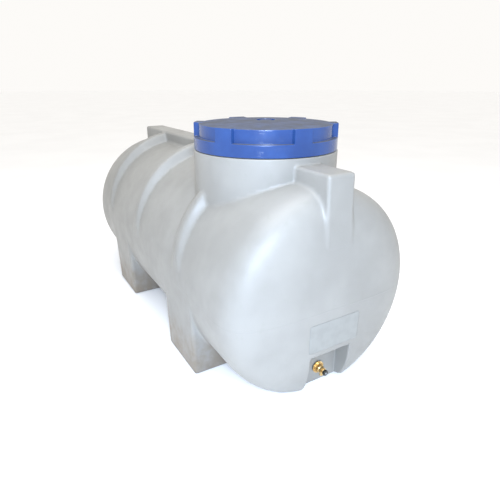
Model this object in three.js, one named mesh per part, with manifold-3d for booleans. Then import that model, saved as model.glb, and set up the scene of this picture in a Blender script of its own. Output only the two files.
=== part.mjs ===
// A horizontal poly water tank for livestock: one hollow moulding with cast-in feet,
// ribs and lifting lugs, a blue screw lid with a breather, and a brass drain tap.
// Millimetres, +Z up. X is across the tank, Y along it, and -Y is the outlet end.
// The origin is on the floor, under the middle of the tank.
import * as THREE from 'three';
import { mergeVertices } from 'three/addons/utils/BufferGeometryUtils.js';
import Module from 'manifold-3d';

const wasm = await Module();
wasm.setup();

// ---- driving dimensions ----
const WALL = 7;
const GAP = 0.3;                       // left between pieces that touch

// Barrel: a round hull lying along Y, with blunt ends and a flat underside.
const BARREL_RADIUS = 330;
const BARREL_AXIS_HEIGHT = 302;
const BARREL_HALF_LENGTH = 725;
const STRAIGHT_HALF_LENGTH = 555;
const END_BLUNTNESS = 4.5;             // power of the superellipse in each end

// Ribs: the barrel's circle raised, so each rib fades out at mid height.
const RIB_POSITIONS = [-340, 70, 455];
const RIB_RISE = 38;
const RIB_BASE_WIDTH = 96;
const RIB_CROWN_WIDTH = 38;

// Feet: full-width blocks under the barrel, flush with its sides.
const FOOT_HALF_WIDTH_FLOOR = 321;
const FOOT_HALF_WIDTH_TOP = 328;
const FOOT_INNER_Y = 216;
const FOOT_LENGTH = 227;

// Lugs: an upright plate on the centre line at each end, running in to the neck.
const LUG_WIDTH = 91;
const LUG_OUTER_Y = 713;
const LUG_TOP = 675;

// Neck and threaded collar of the manway.
const NECK_Y = -348;
const NECK_RADIUS = 227;
const SHOULDER_HEIGHT = 695;
const COLLAR_RADIUS = 213.5;
const RIM_HEIGHT = 725;
const THREAD_DEPTH = 3.2;
const THREAD_PITCH = 12;
const THREAD_TURNS = 1.5;
const THREAD_STEPS = 72;
const THREAD_START_HEIGHT = SHOULDER_HEIGHT + 6;

// Lid, measured from its bottom edge.
const LID_BOTTOM = 697;
const LID_RADIUS = 225;
const LID_TIER_RADIUS = 210;
const LID_SKIRT_HEIGHT = 36;
const LID_TIER_HEIGHT = 74;
const LID_LUG_HEIGHT = 77;
const LID_LUG_WIDTH = 60;
const LID_LUG_COUNT = 6;
const LID_LUG_START = -4.7;               // degrees from -Y, about Z
const LID_DOME_RISE = 10;
const LID_DISH_RADIUS = 30;             // shallow dish in the middle, for the breather
const LID_DISH_DEPTH = 5;
const LID_WALL = 4;
const LID_BORE_RADIUS = 217.3;
const SEAL_HEIGHT = 3.4;

// Breather in the dish in the middle of the lid.
const VENT_HOLE_RADIUS = 15;
const VENT_FLANGE_RADIUS = 27;

// Outlet recess in the end, and the brass fitting through its back wall.
const POCKET_HALF_WIDTH = 75;
const POCKET_BACK_Y = -664;
const POCKET_TOP = 146;
const OUTLET_HEIGHT = 57;
const OUTLET_TUBE_RADIUS = 13.2;
const OUTLET_BORE_RADIUS = 9.5;
const OUTLET_FLANGE_RADIUS = 20;
const OUTLET_HEX_RADIUS = 17;
const SPINDLE_RADIUS = 3;
const TAP_LENGTH = 15;

// Quarter-turn valve disc in the tap: its port meets the seat's port once it is turned.
const VALVE_RADIUS = 6.6;
const VALVE_THICKNESS = 2.5;
const PORT_OFFSET = 3.6;
const PORT_RADIUS = 2.2;
const TONGUE_HALF_LENGTH = 2.6;
const TONGUE_HALF_THICKNESS = 0.7;
const TONGUE_REACH = 1;

// Blank label on the end above the outlet.
const LABEL_LEFT = -86;
const LABEL_RIGHT = 98;
const LABEL_BOTTOM = 165;
const LABEL_TOP = 258;
const LABEL_THICKNESS = 0.8;

const BARREL_SEGMENTS = 48;
const NECK_SEGMENTS = 72;
const SMALL_SEGMENTS = 28;

// ---- materials ----
const NATURAL_POLYETHYLENE = { color: 0xdfe2e6, roughness: 0.42, metalness: 0 };
const BLUE_POLYPROPYLENE = { color: 0x3f6fd0, roughness: 0.3, metalness: 0 };
const BLACK_RUBBER = { color: 0x1c1c1d, roughness: 0.8, metalness: 0 };
const BLACK_NYLON = { color: 0x232420, roughness: 0.45, metalness: 0 };
const BRASS = { color: 0xc9963f, roughness: 0.3, metalness: 1 };
const WHITE_FIBRE = { color: 0xd8d4c8, roughness: 0.7, metalness: 0 };
const STAINLESS = { color: 0xb9bcc0, roughness: 0.3, metalness: 1 };
const LABEL_VINYL = { color: 0xe6e9ee, roughness: 0.35, metalness: 0 };

// ---- solids ----

// Turns a closed three.js geometry into a solid that can be joined and cut.
function solid(geometry) {
  geometry.deleteAttribute('normal');
  geometry.deleteAttribute('uv');
  const merged = mergeVertices(geometry, 1e-4);
  const corners = merged.index.array;
  const triVerts = [];
  for (let i = 0; i < corners.length; i += 3) {
    const [a, b, c] = corners.slice(i, i + 3);
    if (a !== b && b !== c && c !== a) triVerts.push(a, b, c);
  }
  return new wasm.Manifold(new wasm.Mesh({
    numProp: 3,
    vertProperties: new Float32Array(merged.attributes.position.array),
    triVerts: new Uint32Array(triVerts),
  }));
}

function union(first, ...others) {
  return others.reduce((joined, next) => joined.add(next), first);
}

// Solid turned about Y. The profile is a list of [radius, y] going up the outside.
function turned(profile, segments) {
  const points = profile.map(([radius, y]) => new THREE.Vector2(radius, y));
  return new THREE.LatheGeometry(points, segments);
}

// The same, stood up about Z: the profile is a list of [radius, z].
function turnedUpright(profile, segments) {
  return turned(profile, segments).rotateX(Math.PI / 2);
}

// Closed [radius, height] profile of a plain ring or tube.
function ring(innerRadius, outerRadius, low, high) {
  return [
    [innerRadius, low],
    [outerRadius, low],
    [outerRadius, high],
    [innerRadius, high],
    [innerRadius, low],
  ];
}

// [radius, height] profile of a plain disc or rod.
function disc(radius, low, high) {
  return [
    [0, low],
    [radius, low],
    [radius, high],
    [0, high],
  ];
}

function box(lowX, highX, lowY, highY, lowZ, highZ) {
  const geometry = new THREE.BoxGeometry(highX - lowX, highY - lowY, highZ - lowZ);
  return geometry.translate((lowX + highX) / 2, (lowY + highY) / 2, (lowZ + highZ) / 2);
}

function hexagon(cornerRadius, low, high) {
  const geometry = new THREE.CylinderGeometry(cornerRadius, cornerRadius, high - low, 6);
  return geometry.translate(0, (low + high) / 2, 0);
}

// ---- the tank moulding, as an outer form and the same form drawn in by a wall ----

function barrelForm(inset) {
  const capSteps = 8;
  const radius = BARREL_RADIUS - inset;
  const capDepth = BARREL_HALF_LENGTH - inset - STRAIGHT_HALF_LENGTH;
  const cap = [];
  for (let step = 0; step <= capSteps; step += 1) {
    const turn = (step / capSteps) * (Math.PI / 2);
    cap.push([
      radius * Math.cos(turn) ** (2 / END_BLUNTNESS),
      STRAIGHT_HALF_LENGTH + capDepth * Math.sin(turn) ** (2 / END_BLUNTNESS),
    ]);
  }
  cap[capSteps][0] = 0;
  const front = cap.map(([r, y]) => [r, -y]).reverse();
  const hull = turned([...front, ...cap], BARREL_SEGMENTS).translate(0, 0, BARREL_AXIS_HEIGHT);
  const reach = 2 * BARREL_HALF_LENGTH;
  const aboveFloor = box(-reach, reach, -reach, reach, Math.max(inset, 0), reach);
  return solid(hull).intersect(solid(aboveFloor));
}

function ribForm(y, inset) {
  const baseHalf = RIB_BASE_WIDTH / 2 - inset;
  const crownHalf = RIB_CROWN_WIDTH / 2 - inset / 2;
  const crown = BARREL_RADIUS - inset;
  const base = crown - RIB_RISE;
  const profile = [
    [0, y - baseHalf],
    [base, y - baseHalf],
    [crown, y - crownHalf],
    [crown, y + crownHalf],
    [base, y + baseHalf],
    [0, y + baseHalf],
  ];
  const rib = turned(profile, BARREL_SEGMENTS).translate(0, 0, BARREL_AXIS_HEIGHT + RIB_RISE);
  return solid(rib);
}

function footForm(side, inset) {
  const floor = FOOT_HALF_WIDTH_FLOOR - inset;
  const top = FOOT_HALF_WIDTH_TOP - inset;
  const section = new THREE.Shape();
  section.moveTo(-floor, inset);
  section.lineTo(floor, inset);
  section.lineTo(top, BARREL_AXIS_HEIGHT);
  section.lineTo(-top, BARREL_AXIS_HEIGHT);
  section.closePath();
  const depth = FOOT_LENGTH - 2 * inset;
  const block = new THREE.ExtrudeGeometry(section, { depth, bevelEnabled: false });
  block.rotateX(Math.PI / 2);
  const middle = side * (FOOT_INNER_Y + FOOT_LENGTH / 2);
  return solid(block.translate(0, middle + depth / 2, 0));
}

function lugForm(side, inset) {
  const half = LUG_WIDTH / 2 - inset;
  const outer = side * (LUG_OUTER_Y - inset);
  const lowY = Math.min(outer, NECK_Y);
  const highY = Math.max(outer, NECK_Y);
  return solid(box(-half, half, lowY, highY, BARREL_AXIS_HEIGHT, LUG_TOP - inset));
}

function neckForm(inset) {
  const overshoot = inset > 0 ? WALL : 0;
  const profile = [
    [0, BARREL_AXIS_HEIGHT],
    [NECK_RADIUS - inset, BARREL_AXIS_HEIGHT],
    [NECK_RADIUS - inset, SHOULDER_HEIGHT - inset],
    [COLLAR_RADIUS - inset, SHOULDER_HEIGHT - inset],
    [COLLAR_RADIUS - inset, RIM_HEIGHT + overshoot],
    [0, RIM_HEIGHT + overshoot],
  ];
  return solid(turnedUpright(profile, NECK_SEGMENTS).translate(0, NECK_Y, 0));
}

// The recess that keeps the tap inside the end, widened by a wall for the hollow.
function pocketForm(outset) {
  const half = POCKET_HALF_WIDTH + outset;
  const beyond = 2 * BARREL_HALF_LENGTH;
  return solid(box(-half, half, -beyond, POCKET_BACK_Y + outset, -beyond, POCKET_TOP + outset));
}

function tankForm(inset) {
  const joined = union(
    barrelForm(inset),
    ...RIB_POSITIONS.map((y) => ribForm(y, inset)),
    ...[-1, 1].map((side) => footForm(side, inset)),
    ...[-1, 1].map((side) => lugForm(side, inset)),
    neckForm(inset),
  );
  return joined.subtract(pocketForm(inset));
}

// Path of the collar's round screw thread, rising by THREAD_PITCH for each turn.
class ThreadPath extends THREE.Curve {
  getPoint(t, target = new THREE.Vector3()) {
    const turns = t * THREAD_TURNS;
    const angle = turns * 2 * Math.PI;
    return target.set(
      COLLAR_RADIUS * Math.cos(angle),
      NECK_Y + COLLAR_RADIUS * Math.sin(angle),
      THREAD_START_HEIGHT + turns * THREAD_PITCH,
    );
  }
}

function collarThread() {
  const section = new THREE.Shape().absarc(0, 0, THREAD_DEPTH, 0, 2 * Math.PI);
  const bead = new THREE.ExtrudeGeometry(section, {
    steps: THREAD_STEPS,
    curveSegments: 4,
    extrudePath: new ThreadPath(),
    bevelEnabled: false,
  });
  return solid(bead);
}

function tankShell() {
  const outletHole = turned(disc(OUTLET_TUBE_RADIUS + GAP, -4 * WALL, 4 * WALL), SMALL_SEGMENTS);
  outletHole.translate(0, POCKET_BACK_Y, OUTLET_HEIGHT);
  return tankForm(0)
    .add(collarThread())
    .subtract(tankForm(WALL))
    .subtract(solid(outletHole));
}

// Thin patch that follows the end of the barrel, a touch proud of it.
function blankLabel() {
  const sheet = barrelForm(-GAP - LABEL_THICKNESS).subtract(barrelForm(-GAP));
  const window = box(LABEL_LEFT, LABEL_RIGHT, -2 * BARREL_HALF_LENGTH, 0, LABEL_BOTTOM, LABEL_TOP);
  return sheet.intersect(solid(window));
}

// ---- lid, drawn about its own axis with z = 0 at its bottom edge ----

const rimAboveLidBottom = RIM_HEIGHT - LID_BOTTOM;
const shelfUnderside = rimAboveLidBottom + SEAL_HEIGHT + 2 * GAP;

// Blocks standing where the grip lugs are, drawn in by a wall for the hollow inside them.
function lugBlocks(inset, low, high, outer) {
  const half = LID_LUG_WIDTH / 2 - inset;
  const inner = LID_TIER_RADIUS - 14 + inset;
  const blocks = [];
  for (let i = 0; i < LID_LUG_COUNT; i += 1) {
    const block = box(-half, half, -outer, -inner, low, high);
    block.rotateZ(THREE.MathUtils.degToRad(LID_LUG_START + (i * 360) / LID_LUG_COUNT));
    blocks.push(solid(block));
  }
  return union(...blocks);
}

// Height of the lid's gently domed top at a radius.
function domeHeight(radius) {
  return LID_TIER_HEIGHT + LID_DOME_RISE * (1 - (radius / LID_TIER_RADIUS) ** 2);
}

// [radius, height] points of the top from the axis to the tier's edge, with its dish, all
// lowered by a drop and with the dish's wall moved out by the same amount.
function topProfile(drop) {
  const dishEdge = LID_DISH_RADIUS + drop;
  const dishFloor = domeHeight(dishEdge) - LID_DISH_DEPTH - drop;
  const points = [[0, dishFloor], [dishEdge, dishFloor]];
  const steps = 4;
  for (let step = 0; step <= steps; step += 1) {
    const radius = dishEdge + ((LID_TIER_RADIUS - drop - dishEdge) * step) / steps;
    points.push([radius, domeHeight(radius) - drop]);
  }
  return points;
}

// Everything above the skirt and outside the tier, apart from the lugs.
function lidTrim() {
  const beyond = LID_RADIUS + 40;
  const above = LID_TIER_HEIGHT + 20;
  const aroundTier = turnedUpright(ring(LID_TIER_RADIUS, beyond, LID_SKIRT_HEIGHT, above), NECK_SEGMENTS);
  const overTier = turnedUpright([
    ...topProfile(0),
    [beyond - 5, LID_TIER_HEIGHT],
    [beyond - 5, above + 5],
    [0, above + 5],
  ], NECK_SEGMENTS);
  return solid(aroundTier)
    .add(solid(overTier))
    .subtract(lugBlocks(0, 0, LID_LUG_HEIGHT, beyond + 10));
}

function lidBody() {
  const blankHeight = LID_TIER_HEIGHT + LID_DOME_RISE + 2;
  const blank = turnedUpright(disc(LID_RADIUS, 0, blankHeight), NECK_SEGMENTS);
  const hollow = turnedUpright([
    [0, -1],
    [LID_BORE_RADIUS, -1],
    [LID_BORE_RADIUS, shelfUnderside],
    [LID_TIER_RADIUS - LID_WALL, shelfUnderside],
    ...topProfile(LID_WALL).reverse(),
  ], NECK_SEGMENTS);
  const lugFloor = LID_SKIRT_HEIGHT + LID_WALL;
  const insideSkirt = turnedUpright(disc(LID_RADIUS - LID_WALL, lugFloor - 1, LID_LUG_HEIGHT), NECK_SEGMENTS);
  const lugHollows = lugBlocks(LID_WALL, lugFloor, LID_LUG_HEIGHT - LID_WALL, LID_RADIUS + 10)
    .intersect(solid(insideSkirt));
  const ventHole = turnedUpright(disc(VENT_HOLE_RADIUS + GAP, 0, 2 * LID_TIER_HEIGHT), SMALL_SEGMENTS);
  return solid(blank)
    .subtract(lidTrim())
    .subtract(solid(hollow))
    .subtract(lugHollows)
    .subtract(solid(ventHole));
}

// Flat ring between the collar's rim and the shelf inside the lid.
function lidSeal() {
  const low = rimAboveLidBottom + GAP;
  const profile = ring(COLLAR_RADIUS - WALL + 1, LID_BORE_RADIUS - 1.5, low, low + SEAL_HEIGHT);
  return solid(turnedUpright(profile, NECK_SEGMENTS));
}

// ---- breather, about the lid's axis with z = 0 on the floor of the dish ----

function ventBody() {
  return solid(turnedUpright([
    [10, -14],
    [VENT_HOLE_RADIUS, -14],
    [VENT_HOLE_RADIUS, GAP],
    [VENT_FLANGE_RADIUS, GAP],
    [VENT_FLANGE_RADIUS, 1.6],
    [10, 1.6],
    [10, -14],
  ], SMALL_SEGMENTS));
}

function ventSeal() {
  const top = -LID_WALL - GAP;
  return solid(turnedUpright(ring(VENT_HOLE_RADIUS + GAP, 22, top - 2, top), SMALL_SEGMENTS));
}

function ventNut() {
  const top = -LID_WALL - 2 - 2 * GAP;
  const hex = hexagon(24, top - 6, top).rotateX(Math.PI / 2);
  const bore = turnedUpright(disc(VENT_HOLE_RADIUS + GAP, top - 8, top + 8), SMALL_SEGMENTS);
  return solid(hex).subtract(solid(bore));
}

function ventMesh() {
  return solid(turnedUpright(disc(10 - GAP, -2, -1.4), SMALL_SEGMENTS));
}

// Low cap on three short posts, so air passes under its edge.
function ventCap() {
  const top = solid(turnedUpright(disc(20, 2.6, 3.8), SMALL_SEGMENTS));
  const posts = [0, 1, 2].map((i) => {
    const angle = (i * 2 * Math.PI) / 3;
    const post = turnedUpright(disc(1.5, 1.9, 3), 10);
    return solid(post.translate(16 * Math.cos(angle), 16 * Math.sin(angle), 0));
  });
  return union(top, ...posts);
}

// ---- outlet and tap, with y = 0 on the recess wall and y growing out of the tank ----

const gasketThickness = 2.5;
const flangeBack = gasketThickness + 2 * GAP;
const flangeFront = flangeBack + 4;
const hexFront = flangeFront + 6;
const tapBack = hexFront + 1.5 + 2 * GAP;
const seatFace = tapBack + 3;
const tapFront = tapBack + TAP_LENGTH;
const glandFront = tapFront + GAP + 4;
const knobBack = glandFront + 1;
const knobFront = knobBack + 9;
const valveBack = seatFace + GAP;
const valveFront = valveBack + VALVE_THICKNESS;


function outletBody() {
  const tubeEnd = -WALL - 22;
  const tube = turned(disc(OUTLET_TUBE_RADIUS, tubeEnd, flangeBack + 1), SMALL_SEGMENTS);
  const flange = turned(disc(OUTLET_FLANGE_RADIUS, flangeBack, flangeFront), SMALL_SEGMENTS);
  const hex = hexagon(OUTLET_HEX_RADIUS, flangeFront - 1, hexFront);
  const bore = turned(disc(OUTLET_BORE_RADIUS, tubeEnd - 1, hexFront - 2), SMALL_SEGMENTS);
  const waterway = turned(disc(4, 0, hexFront + 1), SMALL_SEGMENTS);
  return union(solid(tube), solid(flange), solid(hex))
    .subtract(solid(bore))
    .subtract(solid(waterway));
}

function outletRing(outerRadius, low, high) {
  return solid(turned(ring(OUTLET_TUBE_RADIUS + GAP, outerRadius, low, high), SMALL_SEGMENTS));
}

function outletBacknut() {
  const high = -WALL - 4.5 - 3 * GAP;
  const low = high - 8;
  const bore = turned(disc(OUTLET_TUBE_RADIUS + GAP, low - 1, high + 1), SMALL_SEGMENTS);
  return solid(hexagon(21, low, high)).subtract(solid(bore));
}

function tapSealRing() {
  return solid(turned(ring(4.5, 10, hexFront + GAP, hexFront + GAP + 1.5), SMALL_SEGMENTS));
}

// Cutter for a port through the seat or the disc.
function portHole(x, z, low, high) {
  return solid(turned(disc(PORT_RADIUS, low, high), 16).translate(x, 0, z));
}

function tapBody() {
  const outside = turned([
    [0, tapBack],
    [12.5, tapBack],
    [12.5, tapBack + 4],
    [10.5, tapBack + 6],
    [10.5, tapFront],
    [0, tapFront],
  ], SMALL_SEGMENTS);
  const spoutY = tapBack + 7;
  const spout = turnedUpright(disc(5.5, -19, 0), SMALL_SEGMENTS).translate(0, spoutY, 0);
  const spoutBore = turnedUpright(disc(3.4, -20, 0), SMALL_SEGMENTS).translate(0, spoutY, 0);
  const inlet = turned(disc(5.8, tapBack - 1, tapBack + 1.5), SMALL_SEGMENTS);
  const port = portHole(0, PORT_OFFSET, tapBack + 1, seatFace + 1);
  const chamber = turned(disc(7, seatFace, tapFront - 4), SMALL_SEGMENTS);
  const glandBore = turned(disc(5.4, tapFront - 5, tapFront + 1), SMALL_SEGMENTS);
  return solid(outside)
    .add(solid(spout))
    .subtract(union(solid(spoutBore), solid(inlet), port, solid(chamber), solid(glandBore)));
}

function tapPacking() {
  const profile = ring(SPINDLE_RADIUS + GAP, 5.4 - GAP, tapFront - 3.5, tapFront - GAP);
  return solid(turned(profile, SMALL_SEGMENTS));
}

function tapGlandNut() {
  const low = tapFront + GAP;
  const bore = turned(disc(SPINDLE_RADIUS + GAP, low - 1, glandFront + 1), SMALL_SEGMENTS);
  return solid(hexagon(8.5, low, glandFront)).subtract(solid(bore));
}

// Disc that lies on the seat, with one port and a slot for the spindle's tongue.
function valveDisc() {
  const plate = turned(disc(VALVE_RADIUS, valveBack, valveFront), SMALL_SEGMENTS);
  const slotWidth = TONGUE_HALF_THICKNESS + GAP;
  const slotLength = TONGUE_HALF_LENGTH + GAP;
  const slotFloor = valveFront - TONGUE_REACH - GAP;
  const slot = box(-slotWidth, slotWidth, slotFloor, valveFront + 1, -slotLength, slotLength);
  return solid(plate)
    .subtract(portHole(-PORT_OFFSET, 0, valveBack - 1, valveFront + 1))
    .subtract(solid(slot));
}

// Rod from the knob to the valve disc, ending in a flat tongue that turns the disc.
function tapSpindle() {
  const shoulder = valveFront + GAP;
  const outerEnd = knobFront - 1;
  const rod = turned(disc(SPINDLE_RADIUS, shoulder, outerEnd), SMALL_SEGMENTS);
  const tongue = box(
    -TONGUE_HALF_THICKNESS,
    TONGUE_HALF_THICKNESS,
    valveFront - TONGUE_REACH,
    shoulder + 1,
    -TONGUE_HALF_LENGTH,
    TONGUE_HALF_LENGTH,
  );
  const screwHole = turned(disc(1.5 + GAP, outerEnd - 7, outerEnd + 1), SMALL_SEGMENTS);
  return solid(rod)
    .add(solid(tongue))
    .subtract(solid(screwHole));
}

// Round knob with six shallow finger scallops.
function tapKnob() {
  const blank = turned([
    [0, knobBack],
    [7.5, knobBack],
    [9.2, knobBack + 1.7],
    [9.2, knobFront - 1.7],
    [8.2, knobFront],
    [0, knobFront],
  ], SMALL_SEGMENTS);
  const scallops = [];
  for (let i = 0; i < 6; i += 1) {
    const angle = ((i + 0.5) * Math.PI) / 3;
    const cutter = turned(disc(2.7, knobBack - 1, knobFront + 1), 12);
    scallops.push(solid(cutter.translate(10.9 * Math.cos(angle), 0, 10.9 * Math.sin(angle))));
  }
  const bore = turned(disc(SPINDLE_RADIUS + GAP, knobBack - 1, knobFront + 1), SMALL_SEGMENTS);
  return solid(blank)
    .subtract(union(...scallops))
    .subtract(solid(bore));
}

function tapKnobScrew() {
  return solid(turned([
    [0, knobFront - 7],
    [1.5, knobFront - 7],
    [1.5, knobFront + GAP],
    [4.5, knobFront + GAP],
    [3.5, knobFront + 2],
    [0, knobFront + 2],
  ], SMALL_SEGMENTS));
}

// ---- assembly ----

function addPiece(group, name, body, look) {
  const { vertProperties, triVerts } = body.getMesh();
  const geometry = new THREE.BufferGeometry();
  geometry.setAttribute('position', new THREE.BufferAttribute(vertProperties, 3));
  geometry.setIndex(new THREE.BufferAttribute(triVerts, 1));
  geometry.computeVertexNormals();
  const mesh = new THREE.Mesh(geometry, new THREE.MeshStandardMaterial(look));
  mesh.name = name;
  group.add(mesh);
}

const waterTank = new THREE.Group();
addPiece(waterTank, 'tank_shell', tankShell(), NATURAL_POLYETHYLENE);
addPiece(waterTank, 'blank_label', blankLabel(), LABEL_VINYL);

const lidGroup = new THREE.Group();
lidGroup.position.set(0, NECK_Y, LID_BOTTOM);
waterTank.add(lidGroup);
addPiece(lidGroup, 'lid', lidBody(), BLUE_POLYPROPYLENE);
addPiece(lidGroup, 'lid_seal', lidSeal(), BLACK_RUBBER);

const ventGroup = new THREE.Group();
ventGroup.position.set(0, 0, domeHeight(LID_DISH_RADIUS) - LID_DISH_DEPTH);
lidGroup.add(ventGroup);
addPiece(ventGroup, 'vent_body', ventBody(), BLUE_POLYPROPYLENE);
addPiece(ventGroup, 'vent_seal', ventSeal(), BLACK_RUBBER);
addPiece(ventGroup, 'vent_nut', ventNut(), BLACK_NYLON);
addPiece(ventGroup, 'vent_mesh', ventMesh(), STAINLESS);
addPiece(ventGroup, 'vent_cap', ventCap(), BLUE_POLYPROPYLENE);

const outletGroup = new THREE.Group();
outletGroup.position.set(0, POCKET_BACK_Y, OUTLET_HEIGHT);
outletGroup.rotation.z = Math.PI;
waterTank.add(outletGroup);
const innerGasketTop = -WALL - GAP;
const innerWasherTop = innerGasketTop - gasketThickness - GAP;
addPiece(outletGroup, 'outlet_gasket_outer', outletRing(18.5, GAP, GAP + gasketThickness), BLACK_RUBBER);
addPiece(outletGroup, 'outlet_body', outletBody(), BRASS);
addPiece(
  outletGroup,
  'outlet_gasket_inner',
  outletRing(21, innerGasketTop - gasketThickness, innerGasketTop),
  BLACK_RUBBER,
);
addPiece(outletGroup, 'outlet_washer', outletRing(20, innerWasherTop - 2, innerWasherTop), BLACK_NYLON);
addPiece(outletGroup, 'outlet_backnut', outletBacknut(), BRASS);
addPiece(outletGroup, 'tap_seal_ring', tapSealRing(), WHITE_FIBRE);
addPiece(outletGroup, 'tap_body', tapBody(), BRASS);
addPiece(outletGroup, 'tap_packing', tapPacking(), WHITE_FIBRE);
addPiece(outletGroup, 'tap_gland_nut', tapGlandNut(), BRASS);
addPiece(outletGroup, 'valve_disc', valveDisc(), BLACK_NYLON);
addPiece(outletGroup, 'tap_spindle', tapSpindle(), BRASS);
addPiece(outletGroup, 'tap_knob', tapKnob(), BLACK_NYLON);
addPiece(outletGroup, 'tap_knob_screw', tapKnobScrew(), STAINLESS);

export default waterTank;
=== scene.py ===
"""Looks of a closed horizontal poly water tank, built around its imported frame. Metres, +Z up."""

import math

import bmesh
import bpy
import numpy as np
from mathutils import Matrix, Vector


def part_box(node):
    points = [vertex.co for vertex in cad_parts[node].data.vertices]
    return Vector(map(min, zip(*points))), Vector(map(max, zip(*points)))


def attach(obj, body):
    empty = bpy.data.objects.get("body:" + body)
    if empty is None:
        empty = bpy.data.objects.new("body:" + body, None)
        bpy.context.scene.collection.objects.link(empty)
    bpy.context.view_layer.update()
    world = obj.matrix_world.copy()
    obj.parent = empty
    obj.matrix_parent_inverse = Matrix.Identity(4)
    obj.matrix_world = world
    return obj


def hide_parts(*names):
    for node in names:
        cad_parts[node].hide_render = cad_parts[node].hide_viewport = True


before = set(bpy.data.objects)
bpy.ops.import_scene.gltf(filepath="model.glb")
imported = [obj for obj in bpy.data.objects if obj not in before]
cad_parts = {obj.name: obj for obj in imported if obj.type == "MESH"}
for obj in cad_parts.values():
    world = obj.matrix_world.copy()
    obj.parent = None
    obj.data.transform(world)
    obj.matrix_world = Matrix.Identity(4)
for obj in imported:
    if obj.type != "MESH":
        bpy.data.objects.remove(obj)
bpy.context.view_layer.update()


# ---- Tank shell ----
# One hollow moulding of natural polyethylene, made by turning powder in a hot steel mould. Barrel
# with blunt ends, three ribs, two feet, the bar along the top, the neck with its threaded collar
# and the recess for the outlet all come out of the mould in one piece, with soft corners.

shell_low, shell_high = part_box("tank_shell")
BARREL_RADIUS = shell_high.x
HALF_LENGTH = shell_high.y
RIM_HEIGHT = shell_high.z
WALL = 0.007
AXIS_HEIGHT = 0.302
STRAIGHT_HALF = 0.555
END_BLUNTNESS = 4.5
FLOOR_EDGE = 0.022

RIB_MIDDLES = (-0.345, 0.068, 0.452)
RIB_RISE = 0.038
RIB_CROWN_HALF = 0.013
RIB_FOOT_HALF = 0.038

FOOT_HALF_FLOOR = 0.321
FOOT_HALF_TOP = 0.328
FOOT_MIDDLE = 0.3295
FOOT_HALF_ALONG = 0.1135
FOOT_EDGE = 0.009
FOOT_FILLET = 0.010
FOOT_FILLET_FADE = 0.10

BAR_HALF_WIDTH = 0.0455
BAR_END = 0.713
BAR_TOP = 0.675
BAR_FOOT = 0.480
BAR_DRAFT = 0.040
BAR_DRAFT_HEIGHT = 0.160
BAR_EDGE = 0.009
BAR_FILLET = 0.010

NECK_Y = -0.348
NECK_RADIUS = 0.227
NECK_FILLET = 0.006
SHOULDER_HEIGHT = 0.695
COLLAR_RADIUS = 0.2135
THREAD_RISE = 0.0030
THREAD_HALF_WIDTH = 0.0045
THREAD_PITCH = 0.012
THREAD_TURNS = 1.5

RECESS_HALF = 0.075
RECESS_BACK = -0.664
RECESS_TOP = 0.146
RECESS_EDGE = 0.005

MOULD_LINE_HEIGHT = 0.291
LOW_BLOTCH_TOP = 0.26
PLAIN_END_TO = -0.64
BLOTCHED_FROM = -0.46


def round_join(a, b, radius):
    """Distance to two forms together, with a fillet of that radius where they meet."""
    rounding = np.hypot(np.maximum(radius - a, 0), np.maximum(radius - b, 0))
    return np.maximum(radius, np.minimum(a, b)) - rounding


def round_cut(form, cutter, radius):
    """Distance to a form without the cutter's inside, with the cut's edge rounded."""
    return -round_join(-form, cutter, radius)


def rounded_block(dx, dy, dz, radius):
    """Distance to a block with rounded edges, from how far a point is past each face."""
    qx, qy, qz = dx + radius, dy + radius, dz + radius
    beyond = np.sqrt(np.maximum(qx, 0) ** 2 + np.maximum(qy, 0) ** 2 + np.maximum(qz, 0) ** 2)
    return beyond + np.minimum(np.maximum(np.maximum(qx, qy), qz), 0) - radius


def rib_profile(y):
    """Height share of the ribs along the tank, and its slope: a flat crown with S-shaped flanks."""
    share, slope = np.zeros_like(y), np.zeros_like(y)
    width = RIB_FOOT_HALF - RIB_CROWN_HALF
    for middle in RIB_MIDDLES:
        t = np.clip((RIB_FOOT_HALF - np.abs(y - middle)) / width, 0, 1)
        share = share + t * t * (3 - 2 * t)
        slope = slope - np.sign(y - middle) * 6 * t * (1 - t) / width
    return share, slope


def barrel(x, y, z):
    """Distance to the barrel. h = (t^m + e^m)^(1/m) is 1 on its skin, where e is the radius as a
    share of the barrel's, ribs included, and t the way along the end, so the distance is about
    (h - 1) over the size of h's gradient. The ribs fade out as the sine of the height angle."""
    radius = np.maximum(np.hypot(x, z - AXIS_HEIGHT), 1e-4)
    share, slope = rib_profile(y)
    lift = RIB_RISE * np.clip((z - AXIS_HEIGHT) / radius, 0, 1)
    reach = BARREL_RADIUS + lift * share
    e = radius / reach
    t = np.maximum(np.abs(y) - STRAIGHT_HALF, 0) / (HALF_LENGTH - STRAIGHT_HALF)
    m = END_BLUNTNESS
    h = np.maximum((t ** m + e ** m) ** (1 / m), 1e-3)
    across = (e / h) ** (m - 1) / reach
    along = (t / h) ** (m - 1) / (HALF_LENGTH - STRAIGHT_HALF)
    over_rib = across * e * lift * slope
    return (h - 1) / np.maximum(np.sqrt(across ** 2 + along ** 2 + over_rib ** 2), 1.5)


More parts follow.
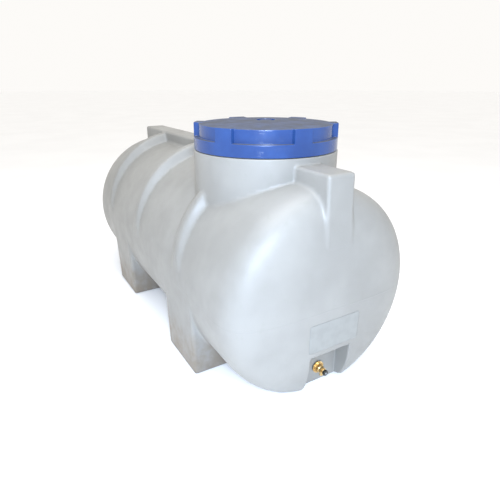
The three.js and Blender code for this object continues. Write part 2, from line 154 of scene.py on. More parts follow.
def moulding(x, y, z):
    """Distance to the outside of the whole moulding below its shoulder, negative in the plastic.
    The feet's fillets die away towards the barrel's widest line, and nothing goes past the
    barrel's width and length or below the floor."""
    form = round_cut(barrel(x, y, z), z, FLOOR_EDGE)
    foot_half = FOOT_HALF_FLOOR + (FOOT_HALF_TOP - FOOT_HALF_FLOOR) * z / AXIS_HEIGHT
    past_side = np.abs(x) - foot_half
    past_front = np.abs(np.abs(y) - FOOT_MIDDLE) - FOOT_HALF_ALONG
    past_floor = np.abs(z - AXIS_HEIGHT / 2) - AXIS_HEIGHT / 2
    fillet = FOOT_FILLET * np.clip((AXIS_HEIGHT - z) / FOOT_FILLET_FADE, 0.15, 1)
    form = round_join(form, rounded_block(past_side, past_front, past_floor, FOOT_EDGE), fillet)
    past_bar = np.abs(x) - BAR_HALF_WIDTH
    past_end = np.abs(y) - BAR_END - BAR_DRAFT * np.minimum(BAR_TOP - z, BAR_DRAFT_HEIGHT)
    past_top = np.abs(z - (BAR_TOP + BAR_FOOT) / 2) - (BAR_TOP - BAR_FOOT) / 2
    form = round_join(form, rounded_block(past_bar, past_end, past_top, BAR_EDGE), BAR_FILLET)
    neck = np.maximum(np.hypot(x, y - NECK_Y) - NECK_RADIUS, AXIS_HEIGHT - z)
    form = round_join(form, neck, NECK_FILLET)
    recess = np.maximum(np.maximum(np.abs(x) - RECESS_HALF, y - RECESS_BACK), z - RECESS_TOP)
    form = round_cut(form, recess, RECESS_EDGE)
    past_mould = np.maximum(np.abs(x) - BARREL_RADIUS, np.abs(y) - HALF_LENGTH)
    return np.maximum(form, np.maximum(past_mould, -z))


def slope_of(x, y, z):
    """Gradient of the moulding's distance, by differences over half a millimetre."""
    step = 0.0005
    return np.stack([
        moulding(x + step, y, z) - moulding(x - step, y, z),
        moulding(x, y + step, z) - moulding(x, y - step, z),
        moulding(x, y, z + step) - moulding(x, y, z - step),
    ], axis=1) / (2 * step)


def graded(stops, spacings):
    """Grid places from stop to stop, with about the spacing given for each stretch."""
    parts = [np.array(stops[:1])]
    for low, high, spacing in zip(stops, stops[1:], spacings):
        parts.append(np.linspace(low, high, max(2, round((high - low) / spacing) + 1))[1:])
    return np.concatenate(parts)


def moulding_skin(depth, xs, ys, zs):
    """Points, quads and normals of the surface at a depth under the moulding's outside.
    Each grid cell that the surface crosses holds one point, at the mean of the crossings on
    the cell's edges, and each crossed edge has a quad through the four cells around it. The
    points are then moved along the gradient on to the surface itself."""
    field = moulding(xs[:, None, None], ys[None, :, None], zs[None, None, :]) + depth
    cells = np.array(field.shape) - 1
    places = (xs, ys, zs)
    sums, hits, edges = np.zeros((cells.prod(), 3)), np.zeros(cells.prod()), []
    for axis in range(3):
        start = np.moveaxis(np.moveaxis(field, axis, 0)[:-1], 0, axis)
        stop = np.moveaxis(np.moveaxis(field, axis, 0)[1:], 0, axis)
        where = np.argwhere((start < 0) != (stop < 0))
        first, last = start[tuple(where.T)], stop[tuple(where.T)]
        point = np.stack([places[a][where[:, a]] for a in range(3)], axis=1)
        gap = places[axis][where[:, axis] + 1] - places[axis][where[:, axis]]
        point[:, axis] += gap * first / (first - last)
        u, v = (axis + 1) % 3, (axis + 2) % 3
        ring = []
        for back_u, back_v in ((1, 1), (0, 1), (0, 0), (1, 0)):
            cell = where.copy()
            cell[:, u] -= back_u
            cell[:, v] -= back_v
            held = ((cell >= 0) & (cell < cells)).all(axis=1)
            flat = np.where(held, (cell[:, 0] * cells[1] + cell[:, 1]) * cells[2] + cell[:, 2], -1)
            hits += np.bincount(flat[held], minlength=cells.prod())
            for a in range(3):
                sums[:, a] += np.bincount(flat[held], point[held, a], cells.prod())
            ring.append(flat)
        ring = np.stack(ring, axis=1)
        ring[first >= 0] = ring[first >= 0][:, ::-1]
        edges.append(ring[(ring >= 0).all(axis=1)])
    used = hits > 0
    points = sums[used] / hits[used, None]
    quads = (np.cumsum(used) - 1)[np.concatenate(edges)]
    for _ in range(4):
        slope = slope_of(*points.T)
        miss = moulding(*points.T) + depth
        move = slope * (miss / np.maximum((slope ** 2).sum(axis=1), 0.05))[:, None]
        points -= move * np.minimum(1, 0.004 / np.maximum(np.linalg.norm(move, axis=1), 1e-9))[:, None]
    normals = slope_of(*points.T)
    normals /= np.maximum(np.linalg.norm(normals, axis=1), 1e-9)[:, None]
    return points, quads, normals


def open_edge(quads, points, height):
    """The points along the skin's open top, in order round the neck, set level at a height."""
    sides = np.concatenate([quads[:, [a, (a + 1) % 4]] for a in range(4)])
    pairs, uses = np.unique(np.sort(sides, axis=1), axis=0, return_counts=True)
    edge = np.unique(pairs[uses == 1])
    points[edge, 2] = height
    angles = np.arctan2(points[edge, 1] - NECK_Y, points[edge, 0])
    return edge[np.argsort(angles)], np.sort(angles)


def zipped(lower, lower_angles, upper, upper_angles):
    """Triangles between two rings of points, each listed by its angle round the neck. Each side
    of one ring is joined to the point that the other ring has reached by that side's end."""
    upper_by_then = np.searchsorted(upper_angles, np.roll(lower_angles, -1)) - 1
    lower_by_then = np.searchsorted(lower_angles, np.roll(upper_angles, -1), side="right") - 1
    return np.concatenate([
        np.stack([lower, np.roll(lower, -1), upper[upper_by_then]], axis=1),
        np.stack([lower[lower_by_then], np.roll(upper, -1), upper], axis=1),
    ])


def rounded_outline(corners, steps=4):
    """Outline through (radius, height, rounding) corners. A rounded corner is a curve from that
    far before it to that far after, with a point close outside each end to keep flats flat."""
    places = [np.array(corner[:2], float) for corner in corners]
    outline = [places[0]]
    for before, here, after, corner in zip(places, places[1:], places[2:], corners[1:]):
        rounding = corner[2]
        into = (before - here) / np.linalg.norm(before - here)
        out = (after - here) / np.linalg.norm(after - here)
        start, stop = here + into * rounding, here + out * rounding
        outline.append(start + into * rounding * 0.25)
        for t in np.linspace(0, 1, steps + 1):
            outline.append((1 - t) ** 2 * start + 2 * t * (1 - t) * here + t ** 2 * stop)
        outline.append(stop + out * rounding * 0.25)
    return np.array(outline + [places[-1]])


def finer(outline, step):
    """The same outline with points no further apart than a step."""
    counts = np.ceil(np.linalg.norm(np.diff(outline, axis=0), axis=1) / step).astype(int)
    parts = [np.linspace(a, b, max(n, 1) + 1)[:-1] for a, b, n in zip(outline, outline[1:], counts)]
    return np.concatenate(parts + [outline[-1:]])


def grid_quads(rows, columns, close_rows=False, close_columns=False):
    """Quads of a rows x columns grid of points listed row by row."""
    row = np.arange(rows if close_rows else rows - 1)
    column = np.arange(columns if close_columns else columns - 1)
    r, c = np.meshgrid(row, column, indexing="ij")
    next_r, next_c = (r + 1) % rows, (c + 1) % columns
    corners = [r * columns + c, r * columns + next_c, next_r * columns + next_c, next_r * columns + c]
    return np.stack(corners, axis=-1).reshape(-1, 4)


def collar(low_outside, low_inside, angles):
    """The shoulder and the threaded collar: an outline turned about the neck's axis, with a
    rounded thread that rises by its pitch each turn pushed out of the collar's wall."""
    inside = COLLAR_RADIUS - WALL
    outline = finer(rounded_outline([
        (NECK_RADIUS, low_outside, 0),
        (NECK_RADIUS, SHOULDER_HEIGHT, 0.0036),
        (COLLAR_RADIUS, SHOULDER_HEIGHT, 0.0012),
        (COLLAR_RADIUS, RIM_HEIGHT, 0.0020),
        (inside, RIM_HEIGHT, 0.0020),
        (inside, SHOULDER_HEIGHT - WALL, 0.0030),
        (NECK_RADIUS - WALL, SHOULDER_HEIGHT - WALL, 0.0014),
        (NECK_RADIUS - WALL, low_inside, 0),
    ]), 0.0013)
    radius = np.repeat(outline[:, :1], len(angles), axis=1)
    height = np.repeat(outline[:, 1:], len(angles), axis=1)
    for turn in (0, 1):
        turned = (angles % (2 * math.pi)) / (2 * math.pi) + turn
        middle = SHOULDER_HEIGHT + 0.006 + THREAD_PITCH * turned
        fade = np.clip(np.minimum(turned, THREAD_TURNS - turned) * 30, 0, 1)
        across = np.clip((height - middle) / THREAD_HALF_WIDTH, -1, 1)
        bead = THREAD_RISE * fade * np.cos(across * math.pi / 2) ** 2
        radius = radius + bead * (np.abs(radius - COLLAR_RADIUS) < 0.0016) * (height > SHOULDER_HEIGHT)
    return np.stack([radius * np.cos(angles), NECK_Y + radius * np.sin(angles), height], axis=-1)


def new_piece(name, points, faces):
    """A mesh object at the origin from arrays of points and faces, given as one array or several."""
    mesh = bpy.data.meshes.new(name)
    groups = faces if isinstance(faces, list) else [faces]
    mesh.from_pydata(points.tolist(), [], [face for group in groups for face in group.tolist()])
    mesh.polygons.foreach_set("use_smooth", np.full(len(mesh.polygons), True))
    mesh.update()
    piece = bpy.data.objects.new(name, mesh)
    bpy.context.scene.collection.objects.link(piece)
    return piece


def tank_moulding():
    """Outer and inner skins joined over the collar into one closed wall."""
    outside_level, inside_level, half_layer = 0.690, 0.684, 0.003
    reach_x, reach_y = BARREL_RADIUS + 0.016, HALF_LENGTH + 0.02
    outer, outer_quads, outer_normals = moulding_skin(
        0.0,
        graded((-reach_x, -0.088, 0.088, reach_x), (0.0105, 0.0055, 0.0105)),
        graded((-reach_y, -0.645, reach_y), (0.0060, 0.0100)),
        graded(
            (-0.012, 0.156, 0.620, outside_level - half_layer, outside_level + half_layer),
            (0.0060, 0.0105, 0.0060, 0.0060),
        ),
    )
    inner, inner_quads, inner_normals = moulding_skin(
        WALL,
        graded((-reach_x, reach_x), (0.019,)),
        graded((-reach_y, reach_y), (0.021,)),
        graded((-0.012, inside_level - half_layer, inside_level + half_layer), (0.019, 0.006)),
    )
    angles = np.linspace(-math.pi, math.pi, 240, endpoint=False) + 0.001
    outer_edge, outer_angles = open_edge(outer_quads, outer, outside_level)
    inner_edge, inner_angles = open_edge(inner_quads, inner, inside_level)
    ring = collar(outside_level + 0.0003, inside_level + 0.0003, angles)
    rows, columns = ring.shape[:2]
    inner_start = len(outer)
    ring_start = inner_start + len(inner)
    first_row = ring_start + np.arange(columns)
    last_row = ring_start + (rows - 1) * columns + np.arange(columns)
    points = np.concatenate([outer, inner, ring.reshape(-1, 3)])
    ring_quads = ring_start + grid_quads(rows, columns, close_columns=True)
    piece = new_piece("tank_moulding", points, [
        outer_quads,
        inner_start + inner_quads[:, ::-1],
        ring_quads,
        zipped(outer_edge, outer_angles, first_row, angles),
        zipped(inner_start + inner_edge, inner_angles, last_row, angles)[:, ::-1],
    ])
    normals = np.zeros(len(points) * 3)
    piece.data.vertex_normals.foreach_get("vector", normals)
    normals = normals.reshape(-1, 3)
    normals[:inner_start] = outer_normals
    normals[inner_start:ring_start] = -inner_normals
    piece.data.normals_split_custom_set_from_vertices(normals.tolist())
    return piece


def colour(hex_code):
    """Linear red, green, blue and alpha of an sRGB colour written as #rrggbb."""
    channels = [int(hex_code[i:i + 2], 16) / 255 for i in (1, 3, 5)]
    linear = [c / 12.92 if c <= 0.04045 else ((c + 0.055) / 1.055) ** 2.4 for c in channels]
    return (*linear, 1.0)


def add_node(material, kind, inputs, **settings):
    """Adds a node to a material. inputs maps a socket's name or number to a value or to another
    node's output, and settings are the node's own properties."""
    tree = material.node_tree
    node = tree.nodes.new(kind)
    for name, value in settings.items():
        setattr(node, name, value)
    for name, value in inputs.items():
        if isinstance(value, bpy.types.NodeSocket):
            tree.links.new(value, node.inputs[name])
        else:
            node.inputs[name].default_value = value
    return node


def new_material(name, **sockets):
    """A material with only its surface shader, with constants on the shader's own sockets.
    Returns the material, the shader and the Object coordinates."""
    material = bpy.data.materials.new(name)
    material.use_nodes = True
    shader = material.node_tree.nodes["Principled BSDF"]
    for socket, value in sockets.items():
        shader.inputs[socket.replace("_", " ")].default_value = value
    place = add_node(material, "ShaderNodeTexCoord", {}).outputs["Object"]
    return material, shader, place


def noise(material, place, size, detail=2.0, stretch=None):
    """Noise whose features are about size metres across, drawn out by stretch along each axis."""
    if stretch:
        place = add_node(material, "ShaderNodeMapping", {"Vector": place, "Scale": stretch}).outputs[0]
    inputs = {"Vector": place, "Scale": 1 / size, "Detail": detail, "Roughness": 0.55}
    return add_node(material, "ShaderNodeTexNoise", inputs).outputs["Fac"]


def spread(material, value, low, high, to_low=0.0, to_high=1.0):
    """Maps a value between two levels smoothly to another range."""
    inputs = {"Value": value, 1: low, 2: high, 3: to_low, 4: to_high}
    return add_node(material, "ShaderNodeMapRange", inputs, interpolation_type="SMOOTHSTEP").outputs[0]


def blend(material, share, first, second):
    """Mixes two colours, each a colour or another node's output."""
    inputs = {0: share, 6: first, 7: second}
    return add_node(material, "ShaderNodeMix", inputs, data_type="RGBA").outputs[2]


def raised(material, height, depth, under=None):
    """Bump of that depth in metres, on top of another bump."""
    inputs = {"Height": height, "Distance": depth, "Strength": 1.0}
    if under is not None:
        inputs["Normal"] = under
    return add_node(material, "ShaderNodeBump", inputs).outputs["Normal"]


def moulded_polyethylene():
    """Natural polyethylene, rotationally moulded: milky, a little see-through at the skin, waxy
    satin with slow waves from uneven cooling, a fine grain from the powder, a faint line where
    the mould's halves met, scuffs, and darker, browner blotches near the ground that fade out towards the
    end by the outlet."""
    material, shader, place = new_material(
        "natural_polyethylene", Roughness=0.48, IOR=1.52, Subsurface_Weight=0.22,
        Subsurface_Radius=(1.0, 0.95, 0.88), Subsurface_Scale=0.010)
    axes = add_node(material, "ShaderNodeSeparateXYZ", {"Vector": place})
    up = axes.outputs["Z"]
    clouds = noise(material, place, 0.22, 3)
    base = blend(material, spread(material, clouds, 0.35, 0.65), colour("#8E8D89"), colour("#858480"))
    blotches = noise(material, place, 0.035, 4)
    base = blend(material, spread(material, blotches, 0.56, 0.74, 0, 0.35), base, colour("#868780"))
    # Darker, browner blotches towards the floor, fading out over the end by the outlet.
    near_ground = spread(material, up, LOW_BLOTCH_TOP, 0.0)
    away_from_outlet_end = spread(material, axes.outputs["Y"], PLAIN_END_TO, BLOTCHED_FROM)
    low_and_rearward = add_node(material, "ShaderNodeMath", {0: near_ground, 1: away_from_outlet_end}, operation="MULTIPLY")
    low_brown_blotches = add_node(
        material, "ShaderNodeMath", {0: low_and_rearward.outputs[0], 1: blotches}, operation="MULTIPLY")
    base = blend(material, spread(material, low_brown_blotches.outputs[0], 0.10, 0.60, 0, 0.75), base, colour("#75695A"))
    off_line = add_node(material, "ShaderNodeMath", {0: up, 1: MOULD_LINE_HEIGHT}, operation="SUBTRACT")
    off_line = add_node(material, "ShaderNodeMath", {0: off_line.outputs[0]}, operation="ABSOLUTE")
    line = spread(material, off_line.outputs[0], 0.0022, 0.0004)
    base = blend(material, spread(material, line, 0, 1, 0, 0.12), base, colour("#7E7F7F"))
    scuffs = noise(material, place, 0.05, 5, (1.0, 1.0, 16.0))
    scuffs = spread(material, scuffs, 0.66, 0.74)
    base = blend(material, spread(material, scuffs, 0, 1, 0, 0.3), base, colour("#828484"))
    gloss = spread(material, noise(material, place, 0.06, 3), 0.3, 0.7, 0.43, 0.55)
    waves = raised(material, noise(material, place, 0.16, 1), 0.0035)
    grain = raised(material, noise(material, place, 0.006, 3), 0.00018, waves)
    marks = raised(material, scuffs, 0.00012, grain)
    seam = raised(material, line, 0.0003, marks)
    links = material.node_tree.links
    links.new(base, shader.inputs["Base Color"])
    links.new(gloss, shader.inputs["Roughness"])
    links.new(seam, shader.inputs["Normal"])
    return material


polyethylene = moulded_polyethylene()
tank = tank_moulding()
tank.data.materials.append(polyethylene)
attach(tank, "tank")
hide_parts("tank_shell")


# ---- Blank label ----
# A plain vinyl sticker on the end above the outlet, with nothing printed on it. It is a thin
# sheet with rounded corners, pressed on to the curve of the end.

LABEL_GAP = 0.0001
LABEL_THICKNESS = 0.0005
LABEL_CORNER = 0.006


def end_surface(x, z):
    """Y of the barrel's front end at x and z, from t = (1 - e^m)^(1/m)."""
    e = np.hypot(x, z - AXIS_HEIGHT) / BARREL_RADIUS
    t = (1 - e ** END_BLUNTNESS) ** (1 / END_BLUNTNESS)
    return -(STRAIGHT_HALF + (HALF_LENGTH - STRAIGHT_HALF) * t)


def label_sheet():
    """Grid over the label's rectangle with its corners drawn in to arcs, laid on the end."""
    low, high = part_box("blank_label")
    middle = (low + high) / 2
    half = np.array([high.x - low.x, high.z - low.z]) / 2
    u, v = np.meshgrid(np.linspace(-1, 1, 61), np.linspace(-1, 1, 41), indexing="ij")
    place = np.stack([u * half[0], v * half[1]], axis=-1)
    inner = half - LABEL_CORNER
    core = np.clip(place, -inner, inner)
    past = place - core
    length = np.maximum(np.linalg.norm(past, axis=-1, keepdims=True), 1e-9)
    place = core + past * np.minimum(1, LABEL_CORNER / length)
    x, z = middle.x + place[..., 0], middle.z + place[..., 1]
    y = end_surface(x, z) - LABEL_GAP - LABEL_THICKNESS
    points = np.stack([x, y, z], axis=-1).reshape(-1, 3)
    return new_piece("label", points, grid_quads(61, 41)[:, ::-1])


def label_vinyl():
    """White satin vinyl film: smooth, a little greyer where it has been handled."""
    material, shader, place = new_material("label_vinyl", Roughness=0.43, IOR=1.50)
    smears = noise(material, place, 0.03, 4)
    base = blend(material, spread(material, smears, 0.4, 0.7), colour("#878885"), colour("#828380"))
    ripple = raised(material, noise(material, place, 0.05, 1), 0.0002)
    links = material.node_tree.links
    links.new(base, shader.inputs["Base Color"])
    links.new(spread(material, smears, 0.3, 0.7, 0.40, 0.46), shader.inputs["Roughness"])
    links.new(ripple, shader.inputs["Normal"])
    return material


label = label_sheet()
label.data.materials.append(label_vinyl())
thickness = label.modifiers.new("Film", "SOLIDIFY")
thickness.thickness = LABEL_THICKNESS
thickness.offset = -1
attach(label, "tank")
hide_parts("blank_label")


# ---- Screw lid ----
# Injection-moulded blue polypropylene. A plain skirt screws down over the collar, a tier steps
# in above it with six grip lugs that stand flush with the skirt, and the top is gently domed
# with a shallow dish for the breather. Its gloss is high, with fine turning scuffs.

lid_low, lid_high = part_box("lid")
LID_BOTTOM = lid_low.z
LID_RADIUS = (lid_high.x - lid_low.x) / 2
LID_MIDDLE_Y = (lid_high.y + lid_low.y) / 2
TIER_RADIUS = 0.210
SKIRT_TOP = 0.036
TIER_TOP = 0.074
LUG_TOP = 0.0765
LUG_DEPTH = 0.014
LUG_COUNT = 6
LUG_HALF_WIDTH = 0.0298
LUG_MIDDLE = math.radians(-90 - 4.7)
LUG_SIDE = 0.0022
DOME_RISE = 0.010
DISH_RADIUS = 0.030
DISH_DEPTH = 0.005
TOP_MIDDLE_RADIUS = 0.120
LID_WALL = 0.004
LID_BORE = 0.2173
LID_SHELF = 0.0320
BREATHER_HOLE = 0.0153


def dome_height(radius):
    """Height of the lid's top over its bottom edge, h = tier + rise * (1 - (r / tier radius)^2)."""
    return TIER_TOP + DOME_RISE * (1 - (radius / TIER_RADIUS) ** 2)


def lid_outline(lug):
    """Closed (radius, height, rounding) outline of the lid's wall, from the bottom of the bore
    round the outside to the breather hole and back along the underside, at a lug or between two.
    Both have the same number of points, so that one can be blended into the other."""
    dish_floor = dome_height(DISH_RADIUS) - DISH_DEPTH
    if lug:
        side = [
            (LID_RADIUS - 0.0002, SKIRT_TOP, 0.0004),
            (LID_RADIUS - 0.0003, SKIRT_TOP + 0.004, 0.0004),
            (LID_RADIUS - 0.0006, LUG_TOP, 0.0022),
            (TIER_RADIUS - LUG_DEPTH, LUG_TOP, 0.0010),
            (TIER_RADIUS - LUG_DEPTH - 0.0015, dome_height(TIER_RADIUS - LUG_DEPTH), 0.0006),
        ]
    else:
        side = [
            (LID_RADIUS, SKIRT_TOP, 0.0022),
            (TIER_RADIUS, SKIRT_TOP, 0.0014),
            (TIER_RADIUS - 0.0004, TIER_TOP, 0.0022),
            (TIER_RADIUS - LUG_DEPTH, dome_height(TIER_RADIUS - LUG_DEPTH), 0.0004),
            (TIER_RADIUS - LUG_DEPTH - 0.0015, dome_height(TIER_RADIUS - LUG_DEPTH - 0.0015), 0.0004),
        ]
    return [
        (LID_BORE, 0.010, 0.0),
        (LID_BORE, 0.0, 0.0012),
        (LID_RADIUS, 0.0, 0.0016),
        *side,
        (TOP_MIDDLE_RADIUS, dome_height(TOP_MIDDLE_RADIUS), 0.002),
        (DISH_RADIUS, dome_height(DISH_RADIUS), 0.0012),
        (DISH_RADIUS, dish_floor, 0.0010),
        (BREATHER_HOLE, dish_floor, 0.0005),
        (BREATHER_HOLE, dish_floor - LID_WALL, 0.0005),
        (DISH_RADIUS + LID_WALL, dish_floor - LID_WALL, 0.001),
        (DISH_RADIUS + LID_WALL, dome_height(DISH_RADIUS) - LID_WALL, 0.001),
        (TIER_RADIUS - LID_WALL, TIER_TOP - LID_WALL, 0.001),
        (TIER_RADIUS - LID_WALL, LID_SHELF, 0.001),
        (LID_BORE, LID_SHELF, 0.001),
        (LID_BORE, 0.012, 0.0),
    ]


def lid_angles():
    """Angles round the lid with close columns at the two sides of each lug, and for each the
    share of lug: 0 between lugs, rising over the lug's drafted side to 1."""
    half_lug = LUG_HALF_WIDTH / LID_RADIUS
    half_side = LUG_SIDE / LID_RADIUS
    half_step = math.pi / LUG_COUNT
    side = np.linspace(-1, 1, 9)
    offset = np.concatenate([
        np.linspace(-half_step, -half_lug - 1.6 * half_side, 11)[:-1],
        -half_lug + half_side * np.concatenate([[-1.6], side, [1.6]]),
        np.linspace(-half_lug + 2.4 * half_side, half_lug - 2.4 * half_side, 9),
        half_lug + half_side * np.concatenate([[-1.6], side, [1.6]]),
        np.linspace(half_lug + 1.6 * half_side, half_step, 11)[1:-1],
    ])
    t = np.clip((half_lug + half_side - np.abs(offset)) / (2 * half_side), 0, 1)
    share = t * t * (3 - 2 * t)
    middles = LUG_MIDDLE + np.arange(LUG_COUNT) * 2 * half_step
    return (middles[:, None] + offset).ravel(), np.tile(share, LUG_COUNT)


def lid_shell():
    """Grid of outline x angle, each column a mix of the plain outline and the lug's outline."""
    plain = rounded_outline(lid_outline(False), 3)
    lugged = rounded_outline(lid_outline(True), 3)
    angles, share = lid_angles()
    outline = plain[:, None, :] * (1 - share)[None, :, None] + lugged[:, None, :] * share[None, :, None]
    radius, height = outline[..., 0], outline[..., 1]
    points = np.stack([
        radius * np.cos(angles),
        LID_MIDDLE_Y + radius * np.sin(angles),
        LID_BOTTOM + height,
    ], axis=-1)
    rows, columns = points.shape[:2]
    faces = grid_quads(rows, columns, close_rows=True, close_columns=True)
    return new_piece("lid_shell", points.reshape(-1, 3), faces)


def even_shading(piece):
    """Lets broad flat faces set the shading next to narrow rounded edges."""
    piece.modifiers.new("Shading", "WEIGHTED_NORMAL").keep_sharp = False


def moulded_polypropylene():
    """Blue polypropylene from a polished mould: strong colour, bright gloss, hair scratches from
    being screwed and stacked, and grey painted in patches on what faces up: a painted reflection of darker
    surroundings, made rougher there."""
    material, shader, place = new_material(
        "blue_polypropylene", Roughness=0.20, IOR=1.49, Subsurface_Weight=0.06,
        Subsurface_Radius=(0.3, 0.5, 1.0), Subsurface_Scale=0.002)
    clouds = noise(material, place, 0.09, 3)
    base = blend(material, spread(material, clouds, 0.3, 0.7), colour("#28477F"), colour("#233E72"))
    # Grey painted in patches on faces that point up, a painted reflection of darker surroundings; the same
    # mask also raises the roughness there.
    facing = add_node(material, "ShaderNodeNewGeometry", {}).outputs["Normal"]
    upward = add_node(material, "ShaderNodeSeparateXYZ", {"Vector": facing}).outputs["Z"]
    patches = noise(material, place, 0.060, 7)
    painted_reflection_mask = add_node(material, "ShaderNodeMath", {
        0: spread(material, upward, 0.7, 0.98), 1: spread(material, patches, 0.30, 0.70, 0.62, 0.92),
    }, operation="MULTIPLY").outputs[0]
    base = blend(material, painted_reflection_mask, base, colour("#45474A"))
    hairs = spread(material, noise(material, place, 0.030, 4, (1.0, 1.0, 22.0)), 0.64, 0.72)
    base = blend(material, spread(material, hairs, 0, 1, 0, 0.10), base, colour("#4F6CA4"))
    gloss = spread(material, patches, 0.3, 0.75, 0.15, 0.24)
    gloss = add_node(material, "ShaderNodeMath", {0: painted_reflection_mask, 1: 0.7, 2: gloss}, operation="MULTIPLY_ADD")
    sink = raised(material, noise(material, place, 0.06, 1), 0.0006)
    scratched = raised(material, hairs, 0.00008, sink)
    links = material.node_tree.links
    links.new(base, shader.inputs["Base Color"])
    links.new(gloss.outputs[0], shader.inputs["Roughness"])
    links.new(scratched, shader.inputs["Normal"])
    return material


polypropylene = moulded_polypropylene()
lid = lid_shell()
lid.data.materials.append(polypropylene)
even_shading(lid)
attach(lid, "lid")
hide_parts("lid")


# ---- Lid seal ----
# A flat ring of black rubber, cut from sheet, that lies between the collar's rim and the shelf
# inside the lid. It is matt and slightly dusty.


def rubber():
    """Black rubber sheet: matt, near black, with a chalky bloom and a fine pressed texture."""
    material, shader, place = new_material("black_rubber", Roughness=0.82, IOR=1.52)
    bloom = noise(material, place, 0.012, 4)
    base = blend(material, spread(material, bloom, 0.45, 0.75), colour("#1A1A1B"), colour("#39393A"))
    links = material.node_tree.links
    links.new(base, shader.inputs["Base Color"])
    links.new(spread(material, bloom, 0.3, 0.7, 0.72, 0.9), shader.inputs["Roughness"])
    links.new(raised(material, noise(material, place, 0.0012, 2), 0.00008), shader.inputs["Normal"])
    return material


def finish_node(name, material):
    """Gives a piece of the frame its finished material."""
    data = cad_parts[name].data
    data.materials.clear()
    data.materials.append(material)


black_rubber = rubber()
finish_node("lid_seal", black_rubber)


# ---- Breather in the lid ----
# A push-through body with a flange, a rubber ring and a nut under the lid, a disc of wire mesh
# in its bore and a low cap on three posts. It lets air in as water is drawn off.


def soften_edges(piece, width):
    """Rounds a piece's sharp edges by a width, as moulding or machining leaves them."""
    edge = piece.modifiers.new("Edge", "BEVEL")
    edge.width = width
    edge.segments = 3
    edge.limit_method = "ANGLE"
    edge.angle_limit = math.radians(32)
    even_shading(piece)


def finished_copy(node, body, material, edge):
    """A merged copy of a piece of the frame with soft edges, standing in its place."""
    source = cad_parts[node]
    shape = bmesh.new()
    shape.from_mesh(source.data)
    bmesh.ops.remove_doubles(shape, verts=shape.verts, dist=2e-6)
    bmesh.ops.dissolve_limit(
        shape, angle_limit=math.radians(0.6), verts=shape.verts, edges=shape.edges)
    mesh = bpy.data.meshes.new(node + "_finished")
    shape.to_mesh(mesh)
    shape.free()
    mesh.polygons.foreach_set("use_smooth", np.full(len(mesh.polygons), True))
    mesh.materials.clear()
    mesh.materials.append(material)
    piece = bpy.data.objects.new(node + "_finished", mesh)
    bpy.context.scene.collection.objects.link(piece)
    soften_edges(piece, edge)
    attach(piece, body)
    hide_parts(node)


def stainless_wire():
    """Stainless steel: drawn and lightly brushed, dulled by water and handling."""
    material, shader, place = new_material("stainless_steel", Metallic=1.0, Roughness=0.44)
    smears = noise(material, place, 0.006, 3)
    base = blend(material, spread(material, smears, 0.35, 0.7), colour("#8E9194"), colour("#6C6F72"))
    brushing = noise(material, place, 0.0016, 2, (1.0, 1.0, 9.0))
    links = material.node_tree.links
    links.new(base, shader.inputs["Base Color"])
    links.new(spread(material, smears, 0.3, 0.7, 0.36, 0.52), shader.inputs["Roughness"])
    links.new(raised(material, brushing, 0.00004), shader.inputs["Normal"])
    return material


def moulded_nylon():
    """Black nylon: olive-black, satin, with a fine spark-eroded grain and worn paler spots."""
    material, shader, place = new_material("black_nylon", Roughness=0.42, IOR=1.53)
    wear = noise(material, place, 0.004, 4)
    base = blend(material, spread(material, wear, 0.45, 0.75), colour("#20201B"), colour("#3D3C32"))
    links = material.node_tree.links
    links.new(base, shader.inputs["Base Color"])
    links.new(spread(material, wear, 0.3, 0.7, 0.34, 0.52), shader.inputs["Roughness"])
    links.new(raised(material, noise(material, place, 0.0007, 2), 0.00005), shader.inputs["Normal"])
    return material


black_nylon = moulded_nylon()
stainless_steel = stainless_wire()
finished_copy("vent_body", "lid", polypropylene, 0.0005)
finished_copy("vent_cap", "lid", polypropylene, 0.0004)
finish_node("vent_seal", black_rubber)
finish_node("vent_nut", black_nylon)
finish_node("vent_mesh", stainless_steel)


# ---- Brass outlet ----
# A bulkhead fitting of hot-pressed brass, machined on its faces, clamped through the recess's
# wall by a back nut. Rubber gaskets seal both sides, with a slip washer under the nut.


def machined_brass():
    """Brass: golden yellow, bright where machined, browner where it has been handled and wet,
    with fine tool rings about its own axis."""
    material, shader, place = new_material("brass", Metallic=1.0, Roughness=0.40)
    tarnish = noise(material, place, 0.007, 4)
    base = blend(material, spread(material, tarnish, 0.35, 0.7), colour("#E6CB96"), colour("#BE9C62"))
    axes = add_node(material, "ShaderNodeSeparateXYZ", {"Vector": place})
    rings = add_node(material, "ShaderNodeMath", {0: axes.outputs["Y"], 1: 9000.0}, operation="MULTIPLY")
    rings = add_node(material, "ShaderNodeMath", {0: rings.outputs[0]}, operation="SINE")
    tooling = raised(material, rings.outputs[0], 0.00002)
    casting = raised(material, noise(material, place, 0.0015, 3), 0.00008, tooling)
    links = material.node_tree.links
    links.new(base, shader.inputs["Base Color"])
    links.new(spread(material, tarnish, 0.3, 0.75, 0.34, 0.52), shader.inputs["Roughness"])
    links.new(casting, shader.inputs["Normal"])
    return material


brass = machined_brass()
finished_copy("outlet_body", "tank", brass, 0.0006)
finish_node("outlet_gasket_outer", black_rubber)
finish_node("outlet_gasket_inner", black_rubber)
finish_node("outlet_washer", black_nylon)
finish_node("outlet_backnut", brass)


# ---- Brass tap ----
# A small quarter-turn tap screwed into the fitting: body with a short spout, packing and gland
# nut, a spindle with a valve disc on its inner end and a black scalloped knob on its outer end.


def pressed_fibre():
    """White vulcanised fibre: matt, slightly yellow, with short pressed fibres."""
    material, shader, place = new_material("white_fibre", Roughness=0.7, IOR=1.5)
    strands = noise(material, place, 0.0015, 4, (1.0, 5.0, 1.0))
    base = blend(material, spread(material, strands, 0.35, 0.7), colour("#DAD5C6"), colour("#C3BCA8"))
    links = material.node_tree.links
    links.new(base, shader.inputs["Base Color"])
    links.new(spread(material, strands, 0.3, 0.7, 0.62, 0.8), shader.inputs["Roughness"])
    links.new(raised(material, strands, 0.00005), shader.inputs["Normal"])
    return material


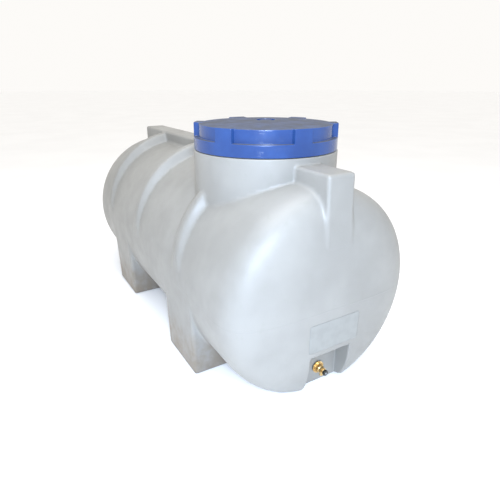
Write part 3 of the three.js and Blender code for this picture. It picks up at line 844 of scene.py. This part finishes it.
white_fibre = pressed_fibre()
finish_node("tap_seal_ring", white_fibre)
finish_node("tap_packing", white_fibre)
finish_node("valve_disc", black_nylon)
finished_copy("tap_body", "tank", brass, 0.0005)
finished_copy("tap_gland_nut", "tank", brass, 0.0005)
finished_copy("tap_spindle", "handle", brass, 0.0002)
finished_copy("tap_knob", "handle", black_nylon, 0.0006)
finished_copy("tap_knob_screw", "handle", stainless_steel, 0.0003)


# ---- Floor, light and camera ----
# A plain white floor under an even white sky. One soft cool lamp beside the camera gives the
# bright shoulder of the end, and a broad one overhead lights the ribs and the bar.


def studio_floor():
    """A round floor, as a grid of radius x angle."""
    radius = np.array([0.01, 0.5, 2, 6, 40])
    angle = np.linspace(0, 2 * math.pi, 96, endpoint=False)
    x, y = radius[:, None] * np.cos(angle), radius[:, None] * np.sin(angle)
    points = np.stack([x, y, np.full_like(x, -0.0005)], axis=-1).reshape(-1, 3)
    floor = new_piece("floor", points, grid_quads(5, 96, close_columns=True)[:, ::-1])
    material, shader, place = new_material("pale_floor", Roughness=0.75)
    shade = spread(material, noise(material, place, 0.8, 2), 0.3, 0.7)
    tone = blend(material, shade, colour("#FEFEFE"), colour("#FBFBFB"))
    material.node_tree.links.new(tone, shader.inputs["Base Color"])
    floor.data.materials.append(material)
    return floor


def lamp(name, place, aim, size, watts, hex_code):
    """A square soft lamp at a place, turned to face a point."""
    light = bpy.data.lights.new(name, "AREA")
    light.size = size
    light.energy = watts
    light.color = colour(hex_code)[:3]
    holder = bpy.data.objects.new(name, light)
    bpy.context.scene.collection.objects.link(holder)
    holder.location = place
    direction = np.array(aim) - np.array(place)
    flat = math.hypot(direction[0], direction[1])
    turn = math.atan2(direction[1], direction[0]) - math.pi / 2
    holder.rotation_euler = (math.pi / 2 + math.atan2(direction[2], flat), 0, turn)
    return holder


sky = bpy.data.worlds.new("white_sky")
sky.use_nodes = True
sky.node_tree.nodes["Background"].inputs["Color"].default_value = colour("#FFFDFA")
sky.node_tree.nodes["Background"].inputs["Strength"].default_value = 0.98
bpy.context.scene.world = sky
bpy.context.scene.view_settings.view_transform = "Standard"

floor = studio_floor()
key = lamp("key", (-0.95, -1.85, 1.15), (0.0, -0.4, 0.4), 0.45, 56, "#D2E5FF")
overhead = lamp("overhead", (-0.3, -0.5, 2.6), (0.0, -0.1, 0.5), 1.2, 32, "#FFFFFF")

camera_data = bpy.data.cameras.new("camera")
camera_data.lens = 30.56
camera_data.sensor_width = 36
camera = bpy.data.objects.new("camera", camera_data)
camera.location = (-0.7493, -1.5075, 0.8946)
camera.rotation_euler = (math.radians(68.18), 0, math.radians(-30.84))
bpy.context.scene.collection.objects.link(camera)
bpy.context.scene.camera = camera
